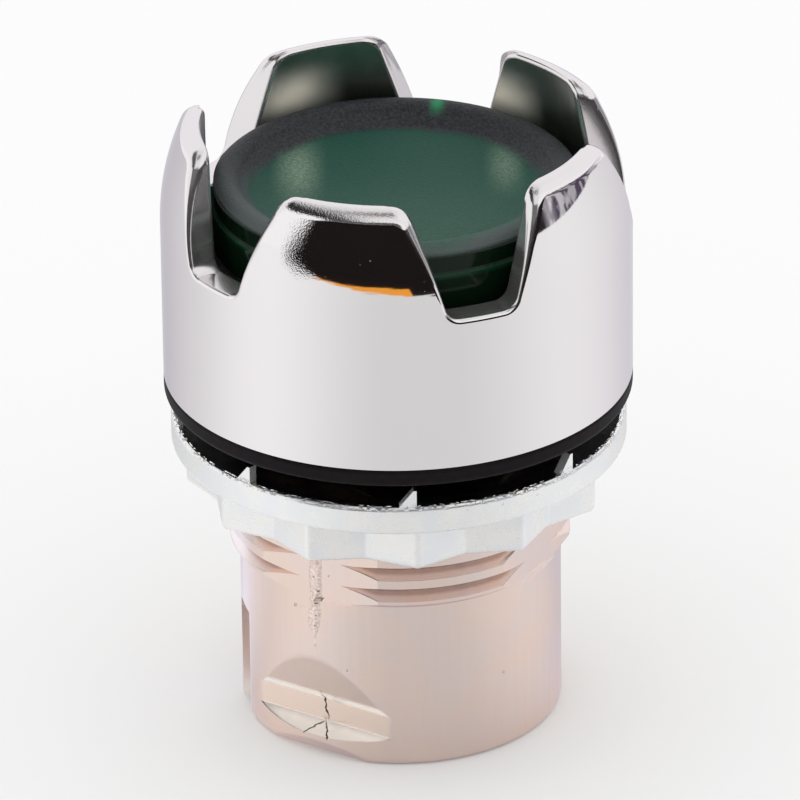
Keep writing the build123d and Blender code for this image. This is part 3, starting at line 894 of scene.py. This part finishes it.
# Reflected surroundings: angles in degrees, with bearings from the camera's side to the right
ROOM_LEFT = -54.0
ROOM_RIGHT = 76.0
ROOM_TOP = 27.0
CEILING_LOW = 40.0
SMEAR_BEARING = 101.0
SMEAR_HALF_WIDTH = 37.0
ZENITH_LOW = 72.0


def room_mask(n, azimuth, elevation):
    """The dark room, whose left side leans and whose top is level."""
    left_limit = n.plus(n.times(elevation, 0.6), ROOM_LEFT)
    left = n.band(n.minus(azimuth, left_limit), -3.0, 3.0)
    right = n.fall(azimuth, ROOM_RIGHT, ROOM_RIGHT + 6.0)
    return n.times(left, right, n.fall(elevation, ROOM_TOP, ROOM_TOP + 3.0))


def front_mask(n, toward, aside, elevation):
    """Where the space over the room lies, and how light it is there."""
    gap_level = n.band(aside, -0.60, -0.50, 1.0, 0.1)
    ceiling_level = n.band(aside, -0.42, -0.15, 0.03, 0.9)
    level = n.band(elevation, CEILING_LOW, CEILING_LOW + 3.0, gap_level, ceiling_level)
    front = n.times(
        n.band(aside, -0.72, -0.64),
        n.band(elevation, ROOM_TOP, ROOM_TOP + 3.0),
        n.fall(aside, 0.25, 0.5),
        n.band(toward, -0.7, -0.5),
    )
    return front, level


def smear_mask(n, azimuth, elevation):
    """A dark smear beside the room, drawn out in streaks."""
    stretched = n.pair(n.times(azimuth, 0.22), n.times(elevation, 0.10))
    streaks = n.noise(stretched, 1.0, 3.0)
    top = n.band(azimuth, 84.0, 118.0, 26.0, 17.0)
    below_top = n.minus(top, elevation)
    smear = n.times(
        n.bell(azimuth, SMEAR_BEARING, SMEAR_HALF_WIDTH),
        n.band(elevation, -5.0, -1.0),
        n.band(below_top, -1.0, 1.0),
    )
    lined = n.plus(n.band(streaks, 0.42, 0.58, 0.4, 1.0), n.band(below_top, 1.0, 5.0, 0.5, 0.0))
    smear = n.times(smear, n.least(lined, 1.0))
    return n.least(n.times(smear, 1.6), 1.0)


def make_world():
    """Plain white round the object, with a dark room in front that only reflections show."""
    world = bpy.data.worlds.new("studio")
    bpy.context.scene.world = world
    world.use_nodes = True
    tree = world.node_tree
    tree.nodes.clear()
    n = Nodes(tree)
    direction = n.add("ShaderNodeTexCoord").outputs["Generated"]
    x, y, z = n.parts(direction)
    toward, aside = n.camera_axes(x, y)
    azimuth = n.bearing(toward, aside)
    elevation = n.math("DEGREES", n.math("ARCSINE", z))
    white = colour(1, 1, 1)
    front, front_level = front_mask(n, toward, aside, elevation)
    seen = n.mix(front, white, n.grey(front_level))
    seen = n.mix(room_mask(n, azimuth, elevation), seen, ROOM_DARK)
    seen = n.mix(smear_mask(n, azimuth, elevation), seen, colour(0.085, 0.065, 0.10))
    zenith = n.band(elevation, ZENITH_LOW, ZENITH_LOW + 12.0)
    seen = n.mix(zenith, seen, colour(0.29, 0.26, 0.25))
    light_path = n.add("ShaderNodeLightPath").outputs
    tint = n.mix(light_path["Is Glossy Ray"], white, seen)
    background = n.add("ShaderNodeBackground", Color=tint, Strength=1.0)
    output = n.add("ShaderNodeOutputWorld")
    tree.links.new(background.outputs[0], output.inputs["Surface"])


# Floor: its size and where its reflected part ends, in millimetres, and how light it is
FLOOR_HALF = 4000.0
LINE_DISTANCE = 163.0
LINE_SLANT = 0.307
STRIP_DISTANCE = 214.0
STRIP_END = 18.0
RAGGEDNESS = 60.0
FLOOR_LEVEL = 0.73
EMISSION_SHARE = 0.3


def floor_level(n, toward, aside, azimuth):
    """How light the floor is in reflections, by bearing."""
    level = n.plus(n.times(n.bell(azimuth, -62.0, 60.0), 0.24), FLOOR_LEVEL)
    level = n.plus(level, n.times(n.bell(azimuth, 85.0, 65.0), 0.18))
    level = n.minus(level, n.times(n.bell(azimuth, -146.0, 36.0), 0.1))
    near = n.fall(n.radius(toward, aside), 25.0, 45.0)
    near_left = n.times(n.bell(azimuth, -122.0, 38.0), near)
    return n.plus(level, n.times(near_left, 0.32))


def floor_end(n, toward, aside, azimuth):
    """Where the floor has ended in reflections, and the colour beyond its ragged line."""
    ragged = n.noise(n.pair(n.times(aside, 0.02), n.times(toward, 0.08)), 1.0, 3.0)
    ragged = n.times(n.minus(ragged, 0.5), RAGGEDNESS)
    edge = n.minus(n.plus(toward, n.times(aside, LINE_SLANT)), LINE_DISTANCE)
    line = n.times(
        n.band(n.plus(edge, ragged), -2.0, 2.0),
        n.band(azimuth, -57.0, -51.0),
        n.fall(azimuth, 55.0, 68.0),
    )
    far_strip = n.fall(n.plus(toward, ragged), STRIP_DISTANCE, STRIP_DISTANCE + 8.0)
    strip = n.times(far_strip, n.fall(aside, STRIP_END, STRIP_END + 3.0))
    return line, n.mix(strip, ROOM_DARK, colour(0.90, 0.36, 0.05))


def make_floor():
    """A plain pale floor, which ends in front of the button as reflections see it."""
    half = FLOOR_HALF
    points = [(-half, -half, 0), (half, -half, 0), (half, half, 0), (-half, half, 0)]
    floor = mesh_piece("floor", points, [(0, 1, 2, 3)])
    material, shader, n = surface("floor_paper", Roughness=0.9)
    shader.inputs["Specular IOR Level"].default_value = 0.0
    x, y, _ = n.parts(n.place())
    toward, aside = n.camera_axes(x, y)
    azimuth = n.bearing(toward, aside)
    glossy = n.add("ShaderNodeLightPath").outputs["Is Glossy Ray"]
    level = floor_level(n, toward, aside, azimuth)
    n.feed(shader, "Base Color", n.mix(glossy, colour(0.98, 0.98, 0.98), n.grey(level)))
    line, beyond = floor_end(n, toward, aside, azimuth)
    shown = n.mix(line, n.grey(level), beyond)
    glow = n.add("ShaderNodeEmission", Color=shown, Strength=1.0)
    mixed = n.add("ShaderNodeMixShader")
    n.feed(mixed, "i0", n.times(n.most(line, EMISSION_SHARE), glossy))
    n.tree.links.new(shader.outputs[0], mixed.inputs[1])
    n.tree.links.new(glow.outputs[0], mixed.inputs[2])
    output = material.node_tree.nodes["Material Output"]
    n.tree.links.new(mixed.outputs[0], output.inputs["Surface"])
    floor.data.materials.append(material)


def make_camera():
    """The photograph's view."""
    data = bpy.data.cameras.new("camera")
    data.lens = CAMERA_LENS
    data.sensor_width = CAMERA_SENSOR
    data.clip_start = CAMERA_CLIP_START
    data.clip_end = CAMERA_CLIP_END
    camera = bpy.data.objects.new("camera", data)
    bpy.context.scene.collection.objects.link(camera)
    a, e = CAMERA_AZIMUTH, CAMERA_ELEVATION
    right = Vector((math.cos(a), math.sin(a), 0))
    aim = Vector((0, 0, CAMERA_AIM_HEIGHT)) + right * CAMERA_AIM_SIDE
    back = Vector((math.sin(a) * math.cos(e), -math.cos(a) * math.cos(e), math.sin(e)))
    turn = (-back).to_track_quat("-Z", "Y").to_matrix().to_4x4()
    roll = Matrix.Rotation(CAMERA_ROLL, 4, "Z")
    camera.matrix_world = Matrix.Translation((aim + back * CAMERA_DISTANCE) * MM) @ turn @ roll
    bpy.context.scene.camera = camera


make_camera()
make_world()
make_floor()

guard = make_guard()
guard.data.materials.append(chrome_material())
dress("barrel_body", barrel_material())
flash = make_flash()
flash.data.materials.append(flash_material())
dress("mounting_nut", nut_material())
rubber = rubber_material()
dress("panel_gasket", rubber)
dress("guard_o_ring", rubber)
dress("lens_cap", lens_material())
grey_plastic = plain_material("plunger_plastic", 0.10, 0.11, 0.11, 0.5)
dress("button_plunger", grey_plastic)
dress("seal_retainer", grey_plastic)
silicone = plain_material("silicone", 0.30, 0.31, 0.32, 0.5)
dress("lip_seal", silicone)
dress("lens_seal", silicone)
dress("diffuser", plain_material("diffuser_white", 0.8, 0.8, 0.8, 0.5))
dress("guide_sleeve", plain_material("sleeve_plastic", 0.75, 0.72, 0.64, 0.45))
spring_steel = plain_material("spring_steel", 0.55, 0.55, 0.56, 0.3, 1.0)
dress("return_spring", spring_steel)
dress("retaining_ring", spring_steel)

bpy.context.scene.view_settings.view_transform = "Standard"
